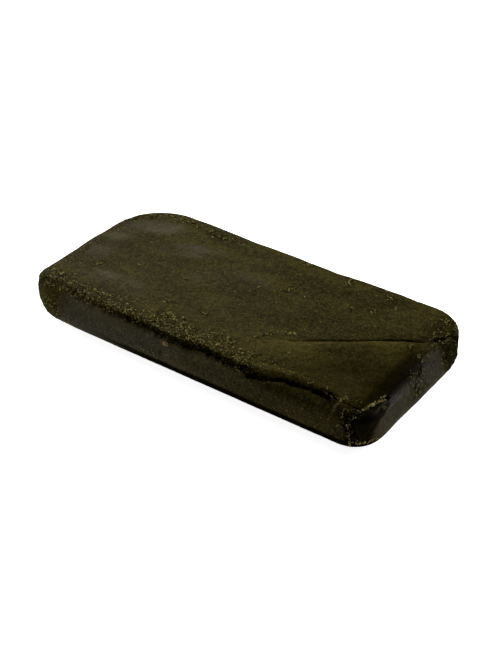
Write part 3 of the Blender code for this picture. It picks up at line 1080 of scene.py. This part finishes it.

# %% [markdown]
# ## Resin
# The resin is opaque and nearly black, with an olive tone that changes in soft clouds. Under a
# lens it is full of tiny grains, some of them yellow. Where it crumbles more of these show, with
# shade painted into the pits between them, and where it was polished it turns smoother, with a
# grey reflection painted into its colour. Shade is painted in too, wherever the light does not
# reach. One recipe makes every finish, with its own balance of tones.


# %% Recipe for resin
# the grey of the sheen painted on the top
TOP_SHEEN_TONE = (0.085, 0.075, 0.06, 1)
# the grey of the table's reflection, painted on the polished sides
PAINTED_REFLECTION_TONE = (0.020, 0.018, 0.012, 1)
# the near-black tone that the colour takes where shade is painted
PAINTED_SHADE_TONE = (0.0012, 0.0009, 0.0004, 1)
# how dark the painted shade in the pits between grains is, as a share of the deep tone
PIT_SHADE_SHARE = 0.45
COAT_ROUGHNESS = 0.4
BUMP_STRENGTH, BUMP_HEIGHT = 0.8, 0.0002
PRESSING_TURN, PRESSING_SCALE = math.radians(-32), (70.0, 210.0, 210.0)
MOTTLE_SCALE, CLUMP_SCALE, FLECK_SCALE = 900.0, 1300.0, 2900.0
FINE_SCALE, CELL_SCALE = 2600.0, 4600.0


def resin(name, deep, olive, grain, gloss, speckle):
    """A resin finish: its deep, olive and grain tones, its roughness, and how many grains show."""
    material, shader, flow = new_material(name)
    place = flow.node("ShaderNodeTexCoord", output=3)

    def stored(map_name):
        return flow.node("ShaderNodeAttribute", {"attribute_name": map_name}, output=2)

    def pattern(scale, detail, roughness=0.5):
        inputs = {"Vector": place, "Scale": scale, "Detail": detail, "Roughness": roughness}
        return flow.node("ShaderNodeTexNoise", {}, inputs)

    # the maps: crumbly places, polish with painted reflection, painted sheen on the top, and
    # painted shade as tone
    crumbly, polished_and_painted_reflection, top_sheen, tone = map(stored, ("crumbly", "polish", "veil", "shade"))

    # soft clouds, drawn out along the way the sheet was pressed
    turned = {"Vector": place, "Rotation": (0.0, 0.0, PRESSING_TURN), "Scale": PRESSING_SCALE}
    streaks = flow.node("ShaderNodeMapping", {}, turned)
    soft = flow.node("ShaderNodeTexNoise", {}, {"Vector": streaks, "Scale": 1.0, "Detail": 4.0})
    clouds = soft.ramp(0.35, 0.65)
    mottle = pattern(MOTTLE_SCALE, 3.0).ramp(0.38, 0.66)

    # a cell of the pattern is a grain, and each draws a number; the highest ones are bright
    cells = flow.node("ShaderNodeTexVoronoi", {}, {"Vector": place, "Scale": CELL_SCALE}, output=1)
    lottery = flow.node("ShaderNodeSeparateColor", {}, {"Color": cells}, output=0)
    clumps = pattern(CLUMP_SCALE, 2.0).ramp(0.4, 0.62)
    fleck = pattern(FLECK_SCALE, 3.0, 0.7).ramp(0.42, 0.58)
    chance = speckle * clumps + crumbly * 0.42 * (0.2 + clumps)
    bright = (lottery + chance).ramp(0.96, 1.12)

    # the tones, one over the other
    base = (clouds * 0.3 + mottle * 0.2 + fleck * 0.5).mix(deep, olive)
    # painted shade in the pits between the grains where the resin crumbles
    pit_shade = tuple(PIT_SHADE_SHARE * part for part in deep[:3]) + (1.0,)
    with_pit_shade = (crumbly * (1 - fleck * 0.7)).mix(base, pit_shade)
    speckled = bright.mix(with_pit_shade, grain)
    # painted sheen: a grey sheen on the top, where it catches the lamps
    with_top_sheen = (top_sheen * (0.18 + 0.5 * clouds)).mix(speckled, TOP_SHEEN_TONE)
    # painted reflection: the polished sides turn grey, as if mirroring the white table
    with_painted_reflection = (polished_and_painted_reflection * (0.15 + 0.5 * fleck)).mix(with_top_sheen, PAINTED_REFLECTION_TONE)
    # painted shade: the colour goes towards a near-black tone where shade falls
    shaded = tone.mix(PAINTED_SHADE_TONE, with_painted_reflection)

    # a faint waxy coat gives all the gloss, hardly any where the resin crumbles, and less where
    # shade is painted
    dullness = gloss + 0.12 * mottle + 0.3 * crumbly - 0.12 * polished_and_painted_reflection
    coat = tone * (0.06 + polished_and_painted_reflection * (0.06 + 0.08 * fleck)) * (1 - 0.75 * crumbly)
    shader.inputs["Specular IOR Level"].default_value = 0.0
    shader.inputs["Coat Roughness"].default_value = COAT_ROUGHNESS

    # fine relief, coarser where it crumbles
    fine = pattern(FINE_SCALE, 3.0, 0.6)
    height = fine * (0.5 + crumbly) + lottery * crumbly * 0.8 + mottle * 0.4
    relief = {"Strength": BUMP_STRENGTH, "Distance": BUMP_HEIGHT, "Height": height}
    bump = flow.node("ShaderNodeBump", {}, relief)

    wires = {"Base Color": shaded, "Roughness": dullness, "Coat Weight": coat, "Normal": bump}
    for socket, value in wires.items():
        material.node_tree.links.new(value.socket, shader.inputs[socket])
    return material


RESINS = {  # deep, olive and grain tones, roughness, share of grains
    "top_resin": (
        (0.0115, 0.0090, 0.0020), (0.054, 0.0440, 0.0092), (0.20, 0.175, 0.055), 0.42, 0.03,
    ),
    "lap_resin": (
        (0.0145, 0.0109, 0.0022), (0.061, 0.0482, 0.0092), (0.18, 0.155, 0.05), 0.42, 0.02,
    ),
    "body_resin": (
        (0.0125, 0.0100, 0.0025), (0.058, 0.0474, 0.0102), (0.16, 0.14, 0.05), 0.40, 0.06,
    ),
    "torn_resin": (
        (0.014, 0.0112, 0.0018), (0.054, 0.0440, 0.0072), (0.20, 0.17, 0.05), 0.55, 0.03,
    ),
    "crumb_resin": ((0.040, 0.033, 0.007), (0.22, 0.186, 0.050), (0.26, 0.225, 0.09), 0.7, 0.2),
    "flake_resin": ((0.10, 0.084, 0.022), (0.22, 0.19, 0.062), (0.32, 0.28, 0.11), 0.6, 0.3),
    "amber_crumb": ((0.14, 0.085, 0.025), (0.30, 0.20, 0.07), (0.40, 0.30, 0.13), 0.6, 0.3),
}
finishes = {}
for name, (deep, olive, grain, gloss, speckle) in RESINS.items():
    finishes[name] = resin(name, (*deep, 1), (*olive, 1), (*grain, 1), gloss, speckle)
print(len(finishes), "finishes")

# %% [markdown]
# ## Dressing the pieces
# Each skin takes its finish, and the solid it stands for is hidden. The loose crumbs ride along
# with the cake.

# %% Dress the pieces
FINISHES = {  # finish and paint slot
    "slab_body": ("body_resin", "body_resin"),
    "top_leaf": ("top_resin", "leaf_resin"),
    "end_leaf": ("lap_resin", "lap_resin"),
    "rear_end_tuck": ("body_resin", "tuck_resin"),
    "left_corner_tuck": ("torn_resin", "torn_resin"),
    "corner_fragment": ("lap_resin", "torn_resin"),
    "lip_crumb": ("amber_crumb", "yellow_crumb"),
    "corner_crumb": ("crumb_resin", "yellow_crumb"),
}
LOOSE_CRUMBLINESS = 0.5
for node, (finish, slot) in FINISHES.items():
    piece = made[node]
    piece.data.materials.clear()
    piece.data.materials.append(finishes[finish])
    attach(piece, "root")
    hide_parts(node)
for name, thing in crumbs.items():
    count = len(thing.data.vertices)
    store(thing, "crumbly", np.full(count, LOOSE_CRUMBLINESS))
    # the loose crumbs get no painted shade
    store(thing, "shade", np.ones(count))
    finish = "flake_resin" if name == "crack_crumbs" else "crumb_resin"
    thing.data.materials.append(finishes[finish])
    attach(thing, "root")
print("dressed", len(made) + len(crumbs), "pieces")
